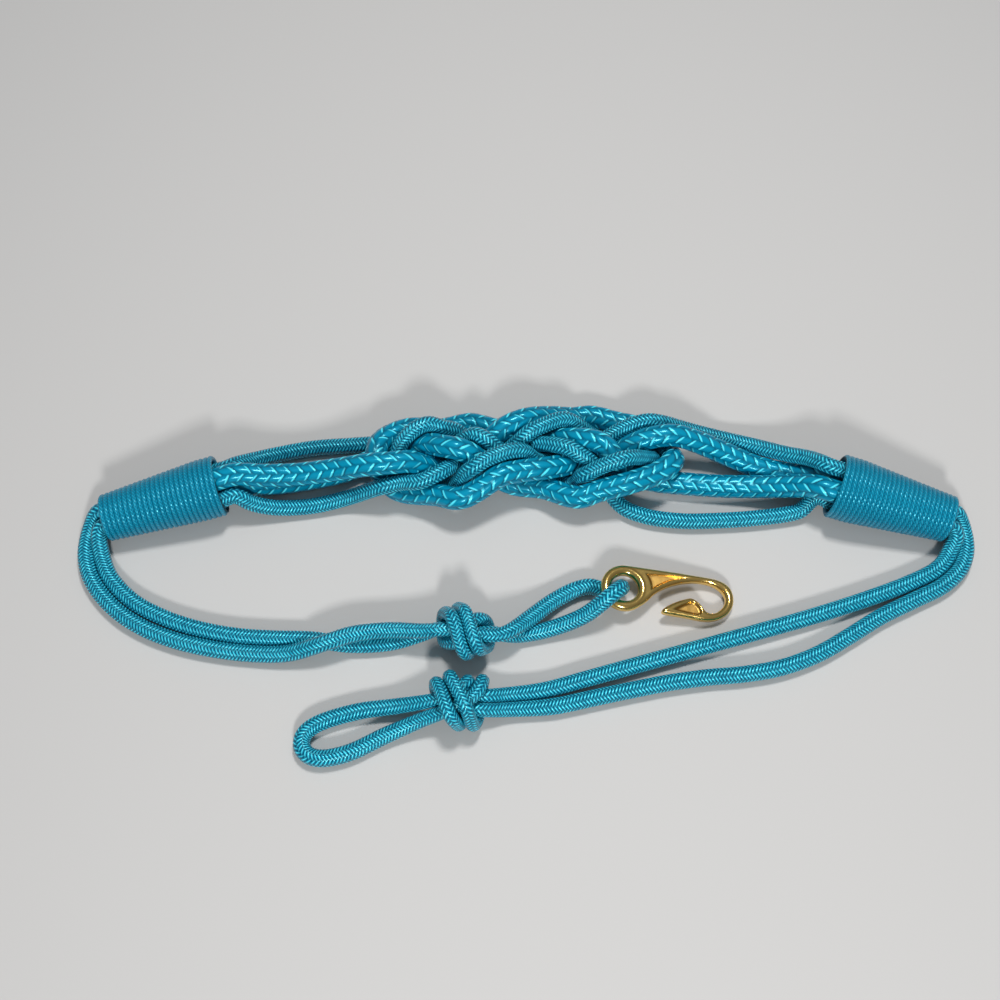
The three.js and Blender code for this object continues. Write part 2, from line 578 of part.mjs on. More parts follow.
// Outline of the hook in its own plane: eye centre at the origin, bow to the right.
function hookOutline() {
  const shape = new THREE.Shape();
  const start = THREE.MathUtils.degToRad(84);
  const end = THREE.MathUtils.degToRad(282);
  shape.absarc(0, 0, EYE_RADIUS, start, end, false);
  const r = HOOK_REACH;
  shape.quadraticCurveTo(0.16 * r, -0.17 * r, 0.245 * r, -0.075 * r);
  shape.quadraticCurveTo(0.33 * r, 0.012 * r, 0.5 * r, 0.06 * r);
  shape.quadraticCurveTo(0.66 * r, 0.1 * r, 0.78 * r, 0.07 * r);
  shape.bezierCurveTo(0.93 * r, 0.03 * r, 0.97 * r, -0.09 * r, 0.86 * r, -0.18 * r);
  shape.quadraticCurveTo(0.79 * r, -0.235 * r, 0.73 * r, -0.19 * r);
  shape.lineTo(0.665 * r, -0.085 * r);
  shape.lineTo(0.6 * r, -0.07 * r);
  shape.quadraticCurveTo(0.47 * r, -0.1 * r, 0.37 * r, -0.165 * r);
  shape.quadraticCurveTo(0.28 * r, -0.225 * r, 0.39 * r, -0.235 * r);
  shape.quadraticCurveTo(0.52 * r, -0.25 * r, 0.66 * r, -0.275 * r);
  shape.bezierCurveTo(0.86 * r, -0.31 * r, 1.0 * r, -0.2 * r, 1.0 * r, -0.06 * r);
  shape.bezierCurveTo(1.0 * r, 0.07 * r, 0.9 * r, 0.115 * r, 0.78 * r, 0.13 * r);
  shape.lineTo(0.5 * r, 0.165 * r);
  const hole = new THREE.Path();
  hole.absarc(0, 0, EYE_HOLE_RADIUS, 0, Math.PI * 2, true);
  shape.holes.push(hole);
  return shape;
}

function webRecessOutline() {
  const r = HOOK_REACH;
  const shape = new THREE.Shape();
  shape.moveTo(0.235 * r, 0.115 * r);
  shape.lineTo(0.45 * r, 0.115 * r);
  shape.lineTo(0.34 * r, 0.07 * r);
  shape.lineTo(0.255 * r, 0.0);
  shape.closePath();
  return shape;
}

function barbRecessOutline() {
  const r = HOOK_REACH;
  const shape = new THREE.Shape();
  shape.moveTo(0.42 * r, -0.19 * r);
  shape.lineTo(0.6 * r, -0.12 * r);
  shape.lineTo(0.655 * r, -0.205 * r);
  shape.closePath();
  return shape;
}

const wasm = await Module();
wasm.setup();

function toSolid(geometry) {
  const bare = geometry.clone();
  bare.deleteAttribute('normal');
  bare.deleteAttribute('uv');
  const merged = mergeVertices(bare, 1e-4);
  return new wasm.Manifold(new wasm.Mesh({
    numProp: 3,
    vertProperties: new Float32Array(merged.attributes.position.array),
    triVerts: new Uint32Array(merged.index.array),
  }));
}

function toGeometry(solid) {
  const mesh = solid.getMesh();
  const geometry = new THREE.BufferGeometry();
  geometry.setAttribute('position', new THREE.BufferAttribute(new Float32Array(mesh.vertProperties), 3));
  geometry.setIndex(new THREE.BufferAttribute(new Uint32Array(mesh.triVerts), 1));
  return geometry;
}

function pocket(outline, depth) {
  const cutter = new THREE.ExtrudeGeometry(outline, { depth: depth + 1, bevelEnabled: false });
  cutter.translate(0, 0, HOOK_THICKNESS - depth);
  return toSolid(cutter);
}

function hookMesh() {
  const bevel = Math.min(HOOK_BEVEL, TIP_BEVEL_SHARE * HOOK_REACH);
  const plate = new THREE.ExtrudeGeometry(hookOutline(), {
    depth: HOOK_THICKNESS - 2 * bevel,
    bevelEnabled: true,
    bevelThickness: bevel,
    bevelSize: bevel,
    bevelOffset: -bevel,
    bevelSegments: 1,
    curveSegments: 6,
  });
  plate.translate(0, 0, bevel);
  const solid = toSolid(plate)
    .subtract(pocket(webRecessOutline(), WEB_RECESS_DEPTH))
    .subtract(pocket(barbRecessOutline(), BARB_RECESS_DEPTH));
  const mesh = new THREE.Mesh(toGeometry(solid), material(COLOURS.brass, 0.25, 1));
  mesh.name = 'brass_hook';
  mesh.applyMatrix4(hookPose);
  return mesh;
}

const belt = new THREE.Group();
const thickLook = () => material(COLOURS.thick, 0.45, 0);
const thinLook = () => material(COLOURS.thin, 0.45, 0);
belt.add(ropeMesh(knotStrands[0], THICK_SIDES, thickLook()));
belt.add(ropeMesh(knotStrands[1], THIN_SIDES, thinLook()));
belt.add(ropeMesh(knotStrands[2], THICK_SIDES, thickLook()));
belt.add(ropeMesh(knotStrands[3], THIN_SIDES, thinLook()));
belt.add(ropeMesh(leftTail, THIN_SIDES, thinLook()));
belt.add(ropeMesh(rightTail, THIN_SIDES, thinLook()));
belt.add(sleeveMesh('whipping_left', leftSleeve));
belt.add(sleeveMesh('whipping_right', rightSleeve));
belt.add(hookMesh());

// Origin at the bottom centre of the whole belt's box.
const box = new THREE.Box3().setFromObject(belt, true);
const shift = box.getCenter(new THREE.Vector3()).setZ(box.min.z).negate();
belt.children.forEach((mesh) => mesh.position.add(shift));

export default belt;
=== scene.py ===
# %% [markdown]
# # A rope belt, laid open on a table
# The belt is six runs of braided rope, two sleeves of wound cord and one cast hook. Its plain
# solids come from the frame. Each plain solid is replaced here by a piece that has the real
# surface: plaits, windings and polished metal. Everything is in metres, in the frame's own axes.

# %% Open the frame
import math
import bmesh
import bpy
import numpy as np
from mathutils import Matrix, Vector


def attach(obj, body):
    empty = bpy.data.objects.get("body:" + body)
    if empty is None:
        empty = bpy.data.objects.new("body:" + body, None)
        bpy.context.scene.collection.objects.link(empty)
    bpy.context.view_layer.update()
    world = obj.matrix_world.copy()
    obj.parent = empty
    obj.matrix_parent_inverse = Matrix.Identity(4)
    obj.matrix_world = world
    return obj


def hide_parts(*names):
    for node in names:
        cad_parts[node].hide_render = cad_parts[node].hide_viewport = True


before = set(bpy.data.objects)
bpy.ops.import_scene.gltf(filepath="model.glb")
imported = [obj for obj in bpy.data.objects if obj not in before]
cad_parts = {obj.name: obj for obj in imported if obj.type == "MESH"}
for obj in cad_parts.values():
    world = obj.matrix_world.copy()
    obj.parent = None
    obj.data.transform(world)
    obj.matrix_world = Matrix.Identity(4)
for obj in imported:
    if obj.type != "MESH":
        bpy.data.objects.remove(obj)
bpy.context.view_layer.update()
scene = bpy.context.scene
print("solids in the frame:", ", ".join(sorted(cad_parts)))

# %% [markdown]
# The camera comes before the pieces, because every length below is judged in its picture. The
# photograph looks steeply down from the near side of the table, 25 degrees off the vertical.

# %% Camera
CAMERA_PLACE = (-0.0100, -0.1772, 0.4503)
CAMERA_LEAN = math.radians(25)
LENS_MM = 46.8

camera_data = bpy.data.cameras.new("camera")
camera_data.lens = LENS_MM
camera = bpy.data.objects.new("camera", camera_data)
camera.location = CAMERA_PLACE
camera.rotation_euler = (CAMERA_LEAN, 0, 0)
scene.collection.objects.link(camera)
scene.camera = camera
print("camera leans", round(math.degrees(CAMERA_LEAN)), "degrees off the vertical")

# %% [markdown]
# Each rope's centre line could be typed in again point by point, but then the piece could drift
# away from its solid. The solid is a chain of rings, so the middle of each ring is a point of the
# line, and the ring's size is the rope's thickness there. The walk starts at a cut end, which is
# the only flat patch of the solid whose corners all lie equally far from its middle. Working from
# the solid costs a little code, but a change of the frame moves the ropes with it.

# %% Rings of a plain rope solid
SAME_PLACE = 1e-6
FLAT_WITHIN = 0.9999
EVEN_WITHIN = 0.04


def flat_patch(face):
    patch, edge_of_walk = {face}, [face]
    while edge_of_walk:
        here = edge_of_walk.pop()
        for edge in here.edges:
            for beside in edge.link_faces:
                if beside not in patch and beside.normal.dot(face.normal) > FLAT_WITHIN:
                    patch.add(beside)
                    edge_of_walk.append(beside)
    return {corner for one in patch for corner in one.verts}


def cut_end(solid, sides):
    for face in solid.faces:
        corners = flat_patch(face)
        if len(corners) != sides:
            continue
        middle = sum((corner.co for corner in corners), Vector()) / sides
        reach = [(corner.co - middle).length for corner in corners]
        if max(reach) - min(reach) < EVEN_WITHIN * max(reach):
            return corners
    raise RuntimeError("no cut end found")


def welded(node):
    solid = bmesh.new()
    solid.from_mesh(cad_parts[node].data)
    bmesh.ops.remove_doubles(solid, verts=solid.verts, dist=SAME_PLACE)
    solid.normal_update()
    return solid


def rings_of(node, sides):
    solid = welded(node)
    ring = cut_end(solid, sides)
    seen = set(ring)
    centres, radii = [], []
    while ring:
        middle = sum((corner.co for corner in ring), Vector()) / len(ring)
        centres.append(tuple(middle))
        radii.append(sum((corner.co - middle).length for corner in ring) / len(ring))
        ring = {edge.other_vert(corner) for corner in ring for edge in corner.link_edges} - seen
        seen |= ring
    solid.free()
    return np.array(centres), np.array(radii)


# %% [markdown]
# A smooth curve through the ring middles gives the centre line. It is cut into short equal steps,
# so that plaits have the same length all along the rope, and eased a little, because a real rope
# has no sudden bend. The frame of each step is carried over from the last one without spinning: a
# braid has as many strands one way as the other, so it doesn't twist by itself.

# %% Smooth centre line with frames that don't spin
FINE_PER_SPAN = 24
EASING = 12


def between(start, end, first, last, t):
    """The point at t on the straight run from first, at start, to last, at end."""
    return (end - t) / (end - start) * first + (t - start) / (end - start) * last


def run_along(line):
    """The length of the line from its start up to each of its points."""
    return np.concatenate([[0], np.cumsum(np.linalg.norm(np.diff(line, axis=0), axis=1))])


def smooth_line(centres, radii, step):
    ahead = 2 * centres[-1] - centres[-2]
    behind = 2 * centres[0] - centres[1]
    padded = np.vstack([behind, centres, ahead])
    shares = np.linspace(0, 1, FINE_PER_SPAN, endpoint=False)[:, None]
    spans, widths = [], []
    for i in range(len(centres) - 1):
        p0, p1, p2, p3 = padded[i:i + 4]
        gaps = [np.linalg.norm(b - a) ** 0.5 for a, b in ((p0, p1), (p1, p2), (p2, p3))]
        t1, t2, t3 = np.cumsum(gaps)
        t = t1 + shares * (t2 - t1)
        a1 = between(0, t1, p0, p1, t)
        a2 = between(t1, t2, p1, p2, t)
        a3 = between(t2, t3, p2, p3, t)
        b1 = between(0, t2, a1, a2, t)
        b2 = between(t1, t3, a2, a3, t)
        spans.append(between(t1, t2, b1, b2, t))
        widths.append(radii[i] + shares[:, 0] * (radii[i + 1] - radii[i]))
    line = np.vstack(spans + [centres[-1:]])
    width = np.concatenate(widths + [radii[-1:]])
    run = run_along(line)
    places = np.linspace(0, run[-1], max(2, round(run[-1] / step)))
    points = np.stack([np.interp(places, run, line[:, k]) for k in range(3)], axis=1)
    for _ in range(EASING):
        points[1:-1] = (points[:-2] + points[1:-1] + points[2:]) / 3
    return points, np.interp(places, run, width), places


def headings(points):
    """The line's direction at each of its points."""
    ways = np.gradient(points, axis=0)
    return ways / np.linalg.norm(ways, axis=1)[:, None]


def steady_frames(points):
    ways = headings(points)
    side = np.cross(ways[0], (0, 0, 1))
    side /= np.linalg.norm(side)
    sides = [side]
    for way in ways[1:]:
        side = side - way * side.dot(way)
        side /= np.linalg.norm(side)
        sides.append(side)
    sides = np.array(sides)
    return sides, np.cross(ways, sides)


# %% [markdown]
# Two braids are used. The thick rope has four strands each way, over one and under one, which
# shows as eight columns of fat slanted plaits. The thin cord is finer: its strands go over two
# and under two, which shows as eight columns of slim strokes that meet in chevrons. In both, a
# strand rises in the columns where it is on top and dives in the others, so one short formula
# gives the height of the surface. Lengths are counted in columns round the rope and in plaits
# along it.

# %% The two braids
THICK_ROPE = {"sides": 10, "columns": 8, "plait": 0.0050, "slant": 0.5, "shift": 0.0, "flatness": 5,
              "lift": 0.4, "relief": 0.095, "around": 56, "step": 0.00042}
THIN_CORD = {"sides": 8, "columns": 8, "plait": 0.00127, "slant": 1.0, "shift": 0.25, "flatness": 2,
             "lift": 0.4, "relief": 0.085, "around": 40, "step": 0.00034}
FULLNESS = 1.03


def strand_roundness(phase, flatness):
    off = 2 * np.abs(phase - np.round(phase))
    return np.sqrt(np.clip(1 - off ** flatness, 0, 1))


def plait_height(braid, column, plait):
    rise = braid["lift"] * np.cos(np.pi * column)
    across = braid["slant"] * column + braid["shift"]
    down = rise + strand_roundness(across - plait, braid["flatness"])
    up = strand_roundness(across + plait, braid["flatness"]) - rise
    return np.maximum(down, up)


# %% [markdown]
# A rope's skin is a grid of points wrapped round the centre line. Sweeping a round profile along
# a curve would be quicker, but it can't carry plaits. Here each point is moved in by as much as
# the braid lies below its highest place. The same column and plait counts are kept as a UV map,
# so that the finish can draw its strokes, painted highlights and painted shade, exactly on the plaits.

# %% Skin of a swept grid
def grid_object(name, grid, columns, rows):
    """A closed tube from grid[ring, around]; columns and rows are its UV counts."""
    rings, around = grid.shape[:2]
    corners = np.vstack([grid.reshape(-1, 3), grid[0].mean(0), grid[-1].mean(0)])
    ring, turn = np.meshgrid(np.arange(rings - 1), np.arange(around), indexing="ij")
    beside = (turn + 1) % around
    here, after = ring * around, (ring + 1) * around
    quads = np.stack([here + turn, here + beside, after + beside, after + turn], axis=-1).reshape(-1, 4)
    u = np.stack([turn, turn + 1, turn + 1, turn], axis=-1) * (columns / around)
    v = np.stack([rows[ring], rows[ring], rows[ring + 1], rows[ring + 1]], axis=-1)
    k = np.arange(around)
    first_cap = np.stack([(k + 1) % around, k, np.full(around, rings * around)], axis=1)
    last = (rings - 1) * around
    last_cap = np.stack([last + k, last + (k + 1) % around, np.full(around, rings * around + 1)], axis=1)
    mesh = bpy.data.meshes.new(name)
    mesh.vertices.add(len(corners))
    mesh.vertices.foreach_set("co", corners.ravel())
    loops = np.concatenate([quads.ravel(), first_cap.ravel(), last_cap.ravel()])
    mesh.loops.add(len(loops))
    mesh.loops.foreach_set("vertex_index", loops.astype(np.int32))
    sizes = np.concatenate([np.full(len(quads), 4), np.full(2 * around, 3)])
    mesh.polygons.add(len(sizes))
    starts = np.concatenate([[0], np.cumsum(sizes)[:-1]])
    mesh.polygons.foreach_set("loop_start", starts.astype(np.int32))
    mesh.polygons.foreach_set("use_smooth", np.ones(len(sizes), bool))
    layer = mesh.uv_layers.new(name="braid")
    cap_uv = np.zeros((6 * around, 2))
    uv = np.vstack([np.stack([u.ravel(), v.ravel()], axis=1), cap_uv])
    layer.data.foreach_set("uv", uv.ravel())
    mesh.update(calc_edges=True)
    mesh.validate()
    piece = bpy.data.objects.new(name, mesh)
    scene.collection.objects.link(piece)
    return piece


def plaited_share(braid, plait):
    """The share of its full radius that a braid keeps, at [ring, around]."""
    column = np.arange(braid["around"]) / braid["around"] * braid["columns"]
    height = plait_height(braid, column[None, :], plait[:, None])
    return 1 - braid["relief"] * (1 + braid["lift"] - height)


def wrapped(line, radius, sides, uprights):
    """The points that lie radius[ring, around] away from the line."""
    around = radius.shape[1]
    turn = np.arange(around) / around * 2 * np.pi
    sideways = np.cos(turn)[None, :, None] * sides[:, None, :]
    upwards = np.sin(turn)[None, :, None] * uprights[:, None, :]
    return line[:, None, :] + radius[..., None] * (sideways + upwards)


def braided_skin(name, points, radii, run, braid):
    sides, uprights = steady_frames(points)
    plait = run / braid["plait"]
    radius = FULLNESS * radii[:, None] * plaited_share(braid, plait)
    return grid_object(name, wrapped(points, radius, sides, uprights), braid["columns"], plait)


# %% [markdown]
# The six ropes are made in one go. Each one leaves a sleeve and goes back into the same sleeve.
# The printed length of each is the length of the line that was just measured.

# %% The six ropes
ROPES = {
    "knot_rope_left": ("braided_rope_left", THICK_ROPE, 0.0086, "thick_rope"),
    "knot_rope_right": ("braided_rope_right", THICK_ROPE, 0.0086, "thick_rope"),
    "knot_cord_left": ("braided_cord_left", THIN_CORD, 0.006, "thin_cord"),
    "knot_cord_right": ("braided_cord_right", THIN_CORD, 0.006, "thin_cord"),
    "tail_cord_left": ("tail_left", THIN_CORD, 0.006, "thin_cord"),
    "tail_cord_right": ("tail_right", THIN_CORD, 0.006, "thin_cord"),
}

rope_pieces = {}
for node, (name, braid, diameter, slot) in ROPES.items():
    centres, radii = rings_of(node, braid["sides"])
    points, widths, run = smooth_line(centres, radii, braid["step"])
    piece = braided_skin(name, points, widths, run, braid)
    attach(piece, "root")
    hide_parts(node)
    rope_pieces[node] = piece
    print(f"{name}: {len(centres)} rings, {run[-1] * 1000:.0f} mm long, {len(piece.data.polygons)} faces")

# %% [markdown]
# Node materials are easier to read as sums than as boxes and wires, so one small class lets a
# socket be added, multiplied and so on, and every sign adds one Math node. Any other node comes
# from one method: its type, its settings, then the values or links of its sockets.

# %% Reckoning with sockets
class Wire:
    def __init__(self, tree, socket=None):
        self.tree, self.socket = tree, socket

    def node(self, kind, settings=None, inputs=None, output=0):
        made = self.tree.nodes.new(kind)
        for name, value in (settings or {}).items():
            setattr(made, name, value)
        for key, value in (inputs or {}).items():
            if isinstance(value, Wire):
                self.tree.links.new(value.socket, made.inputs[key])
            else:
                made.inputs[key].default_value = value
        return Wire(self.tree, made.outputs[output])

    def reckon(self, operation, *values):
        return self.node("ShaderNodeMath", {"operation": operation}, dict(enumerate(values)))

    def __add__(self, other):
        return self.reckon("ADD", self, other)

    def __radd__(self, other):
        return self.reckon("ADD", other, self)

    def __sub__(self, other):
        return self.reckon("SUBTRACT", self, other)

    def __rsub__(self, other):
        return self.reckon("SUBTRACT", other, self)

    def __mul__(self, other):
        return self.reckon("MULTIPLY", self, other)

    def __rmul__(self, other):
        return self.reckon("MULTIPLY", other, self)

    def __truediv__(self, other):
        return self.reckon("DIVIDE", self, other)

    def __rtruediv__(self, other):
        return self.reckon("DIVIDE", other, self)

    def __pow__(self, other):
        return self.reckon("POWER", self, other)

    def clamped(self):
        return self.reckon("MINIMUM", self.reckon("MAXIMUM", self, 0.0), 1.0)

    def mixed_colours(self, first, second):
        first, second = (c if isinstance(c, Wire) else (*c, 1) for c in (first, second))
        return self.node("ShaderNodeMix", {"data_type": "RGBA"}, {0: self, 6: first, 7: second}, 2)


def new_finish(name):
    """A material's start: its tree as a bare wire, and its shader node."""
    material = bpy.data.materials.new(name)
    material.use_nodes = True
    return material, Wire(material.node_tree), material.node_tree.nodes["Principled BSDF"]


# %% [markdown]
# The ropes are nylon: smooth filaments that lie along each strand. A strand looks pale where its
# filaments turn towards the light and nearly black where it dives under the next one, and this
# shade is painted into the colour: the lower the braid lies, the darker. The height formula of the
# braid is written again with sockets, on the UV counts, and it drives the colour, the roughness and
# the bump. The filaments are a noise pulled out long in the direction of the strand on top. Where
# filaments bend down over a plait's edge they throw a slim pale stroke, a sliver of glint. Rays
# can't find filaments that aren't modelled, so the sliver is a painted highlight laid in the
# colour: near one edge of the thick rope's wide plaits, and along the middle of the fine cords'
# slim ones.

# %% Braided nylon
# Colours of the nylon: painted shade deep in the grooves, the body, and the painted highlight of the
# slivers.
PAINTED_GROOVE_SHADE = (0.0, 0.022, 0.065)
BODY = (0.0, 0.255, 0.42)
PAINTED_GLINT_COLOUR = (0.10, 0.84, 1.0)
NYLON_ROUGH = 0.26
GLINT_TINT = (0.25, 0.9, 1.0, 1)
GLINT_STRENGTH = 0.7
GROOVE_HEIGHT = 0.35
GROOVE_SHADE_AND_TONE = {"level": 0.9, "fibres": 0.3, "patches": 0.25, "least": 0.03, "gain": 1.25}
FIBRE_NOISE = {"stretch": 0.9, "apart": 7.0, "detail": 2.0, "rough": 0.6}
PATCH_NOISE = {"stretch": 0.35, "scale": 1.3, "detail": 1.0, "seed": 3.0}
PAINTED_GLINT = {"crown_fade": 0.6, "patches": 2.4, "fibres": 0.8}
FIBRE_BUMP = 0.35
ROUGHNESS = {"groove": 1.3, "level": 0.5, "fibres": 0.3}
THICK_LOOK = {"bump": 0.00008, "filaments": 9.0, "contrast": 1.7,
              "painted_glint_at": -0.74, "painted_glint_half": 0.21, "painted_glint_gain": 1.8}
THIN_LOOK = {"bump": 0.00010, "filaments": 3.0, "contrast": 2.4,
             "painted_glint_at": 0.0, "painted_glint_half": 0.45, "painted_glint_gain": 1.05}


def off_middle(start, phase):
    """How far a point lies from the middle of its strand: -1 and 1 are the strand's two edges."""
    return 2 * (phase - start.reckon("FLOOR", phase + 0.5))


def strand_wire(start, phase, flatness):
    off = start.reckon("ABSOLUTE", off_middle(start, phase))
    return start.reckon("SQRT", start.reckon("MAXIMUM", 1 - off ** flatness, 0.0))


def strands_on_top(start, braid):
    """The braid's height and rise, which strand is on top, and the place across and along it."""
    counts = start.node("ShaderNodeUVMap", {"uv_map": "braid"})
    column = start.node("ShaderNodeSeparateXYZ", None, {0: counts})
    plait = start.node("ShaderNodeSeparateXYZ", None, {0: counts}, 1)
    rise = start.reckon("COSINE", column * math.pi) * braid["lift"]
    across = column * braid["slant"] + braid["shift"]
    down_phase = across - plait
    up_phase = across + plait
    down = rise + strand_wire(start, down_phase, braid["flatness"])
    up = strand_wire(start, up_phase, braid["flatness"]) - rise
    height = start.reckon("MAXIMUM", down, up)
    down_on_top = start.reckon("GREATER_THAN", down, up)
    over = down_phase * down_on_top + up_phase * (1 - down_on_top)
    along = up_phase * down_on_top + down_phase * (1 - down_on_top)
    return height, rise, down_on_top, over, along


def filament_noises(start, filaments, down_on_top, over, along):
    """Fine streaks along each strand, and a slow change from one strand to the next."""
    fibre_place = start.node("ShaderNodeCombineXYZ", None,
                             {0: over * filaments, 1: along * FIBRE_NOISE["stretch"],
                              2: down_on_top * FIBRE_NOISE["apart"]})
    fibres = start.node("ShaderNodeTexNoise", None,
                        {"Vector": fibre_place, "Scale": 1.0, "Detail": FIBRE_NOISE["detail"],
                         "Roughness": FIBRE_NOISE["rough"]}) - 0.5
    patch_place = start.node("ShaderNodeCombineXYZ", None,
                             {0: start.reckon("FLOOR", over + 0.5), 1: along * PATCH_NOISE["stretch"],
                              2: PATCH_NOISE["seed"]})
    patches = start.node("ShaderNodeTexNoise", None,
                         {"Vector": patch_place, "Scale": PATCH_NOISE["scale"],
                          "Detail": PATCH_NOISE["detail"]}) - 0.5
    return fibres, patches


def braided_nylon(name, braid, look):
    material, start, shader = new_finish(name)
    height, rise, down_on_top, over, along = strands_on_top(start, braid)
    fibres, patches = filament_noises(start, look["filaments"], down_on_top, over, along)
    level = ((height - GROOVE_HEIGHT) / (1 - GROOVE_HEIGHT + braid["lift"])).clamped()
    # Painted shade: the colour goes from the body towards near black where the braid lies low in its
    # grooves; the fibres and patches add a random tone.
    groove_shade_and_tone = (level ** look["contrast"] * GROOVE_SHADE_AND_TONE["level"] + fibres * GROOVE_SHADE_AND_TONE["fibres"]
            + patches * GROOVE_SHADE_AND_TONE["patches"] + GROOVE_SHADE_AND_TONE["least"]).clamped()
    groove_shaded_colour = (groove_shade_and_tone * GROOVE_SHADE_AND_TONE["gain"]).clamped().mixed_colours(PAINTED_GROOVE_SHADE, BODY)
    # Painted highlight: a pale stroke laid in the colour near one edge of each plait on the thick rope
    # and along the middle on the fine cords, strongest mid-column.
    one_way = off_middle(start, over) * (2 * down_on_top - 1)
    off_painted_glint = start.reckon("ABSOLUTE", one_way - look["painted_glint_at"]) / look["painted_glint_half"]
    crown = (start.reckon("ABSOLUTE", rise) / braid["lift"]) ** PAINTED_GLINT["crown_fade"]
    uneven = 1 + patches * PAINTED_GLINT["patches"] + fibres * PAINTED_GLINT["fibres"]
    painted_glint_mask = ((1 - off_painted_glint).clamped() * crown * uneven * look["painted_glint_gain"]).clamped()
    colour_with_painted_glints = painted_glint_mask.mixed_colours(groove_shaded_colour, PAINTED_GLINT_COLOUR)
    bump = start.node("ShaderNodeBump", None,
                      {"Strength": 1.0, "Distance": look["bump"], "Height": height + fibres * FIBRE_BUMP})
    rough = ((ROUGHNESS["groove"] - level * ROUGHNESS["level"] + fibres * ROUGHNESS["fibres"])
             * NYLON_ROUGH).clamped()
    start.tree.links.new(colour_with_painted_glints.socket, shader.inputs["Base Color"])
    start.tree.links.new(rough.socket, shader.inputs["Roughness"])
    start.tree.links.new(bump.socket, shader.inputs["Normal"])
    shader.inputs["Specular IOR Level"].default_value = GLINT_STRENGTH
    shader.inputs["Specular Tint"].default_value = GLINT_TINT
    return material


thick_nylon = braided_nylon("thick braided nylon", THICK_ROPE, THICK_LOOK)
thin_nylon = braided_nylon("thin braided nylon", THIN_CORD, THIN_LOOK)
for node, piece in rope_pieces.items():
    thick = ROPES[node][1] is THICK_ROPE
    piece.data.materials.append(thick_nylon if thick else thin_nylon)
print("finishes:", thick_nylon.name, "and", thin_nylon.name)

# %% [markdown]
# Each sleeve is a whipping: one fine cord wound tightly round the rope ends. Its solid is a
# ribbed and tapered tube. The winding needs the tube's axis and its outer size at every depth, and
# both are measured on the solid. Its corners lie evenly round the axis, so their middle is on the
# axis, and the axis is the direction in which they spread most. The wide end is the mouth, and
# depths are counted from there.

# %% Measure a sleeve
BAND_DIGITS = 4


def sleeve_measures(node):
    solid = welded(node)
    corners = np.array([corner.co for corner in solid.verts])
    solid.free()
    middle = corners.mean(0)
    axis = np.linalg.svd(corners - middle, full_matrices=False)[2][0]
    depth = (corners - middle) @ axis
    reach = np.linalg.norm(corners - middle - depth[:, None] * axis, axis=1)
    if reach[depth < 0].max() < reach[depth > 0].max():
        axis, depth = -axis, -depth
    mouth = middle + depth.min() * axis
    depth = depth - depth.min()
    bands = np.round(depth, BAND_DIGITS)
    steps = np.unique(bands)
    outer = np.array([reach[bands == band].max() for band in steps])
    ridge = np.zeros(len(steps), bool)
    ridge[1:-1] = (outer[1:-1] > outer[:-2]) & (outer[1:-1] > outer[2:])
    return mouth, axis, depth.max(), steps[ridge], outer[ridge]


for node in ("whipping_left", "whipping_right"):
    mouth, axis, length, ridges, sizes = sleeve_measures(node)
    wide, narrow = 2000 * sizes[0], 2000 * sizes[-1]
    print(f"{node}: {length * 1000:.1f} mm long, {wide:.1f} to {narrow:.1f} mm across")

# %% [markdown]
# The winding is a thin braided cord swept along a helix that follows the taper. A stack of
# separate rings would look much the same, but the real thing is one cord, and the slight slope of
# its turns shows at the sides. The first and the last quarter turn lie flat, so the sleeve ends
# squarely. A dark lining behind the turns fills the tiny gaps between them with painted shade, and
# a dark plug, painted shade in place of the bound rope ends, closes the mouth and the tip a little
# way in.

# %% Windings, lining and plug
WINDING_CORD = {"columns": 6, "plait": 0.0014, "slant": 1.0, "shift": 0.25, "flatness": 2,
                "lift": 0.4, "relief": 0.06, "around": 12}
WINDING_RADIUS = 0.00098
WINDING_TURNS = {"whipping_left": 24, "whipping_right": 25}
WINDING_STEPS = 76
FLAT_TURN = 0.25
LINING_DEPTH = 0.0009
LINING_WALL = 0.0008
LINING_LIP = 0.0006
LINING_AROUND = 32
PLUG_IN = 0.0030
PLUG_CORE = 0.0004


def across_axis(axis):
    """Two directions square to a sleeve's axis, the first one level."""
    side = np.cross(axis, (0, 0, 1))
    side /= np.linalg.norm(side)
    return side, np.cross(side, axis)


def wound_cord(name, mouth, axis, length, ridges, sizes, turns):
    side, upright = across_axis(axis)
    turned = np.arange(turns * WINDING_STEPS + 1) / WINDING_STEPS
    angle = turned * 2 * np.pi - np.pi / 2
    share = np.clip((turned - FLAT_TURN) / (turns - 2 * FLAT_TURN), 0, 1)
    depth = WINDING_RADIUS + share * (length - 2 * WINDING_RADIUS)
    reach = np.interp(depth, ridges, sizes) - WINDING_RADIUS
    outward = np.cos(angle)[:, None] * side + np.sin(angle)[:, None] * upright
    line = mouth + depth[:, None] * axis + reach[:, None] * outward
    run = run_along(line)
    backwards = -np.cross(headings(line), outward)
    plait = run / WINDING_CORD["plait"]
    radius = WINDING_RADIUS * plaited_share(WINDING_CORD, plait)
    grid = wrapped(line, radius, outward, backwards)
    return grid_object(name, grid, WINDING_CORD["columns"], plait), run[-1]


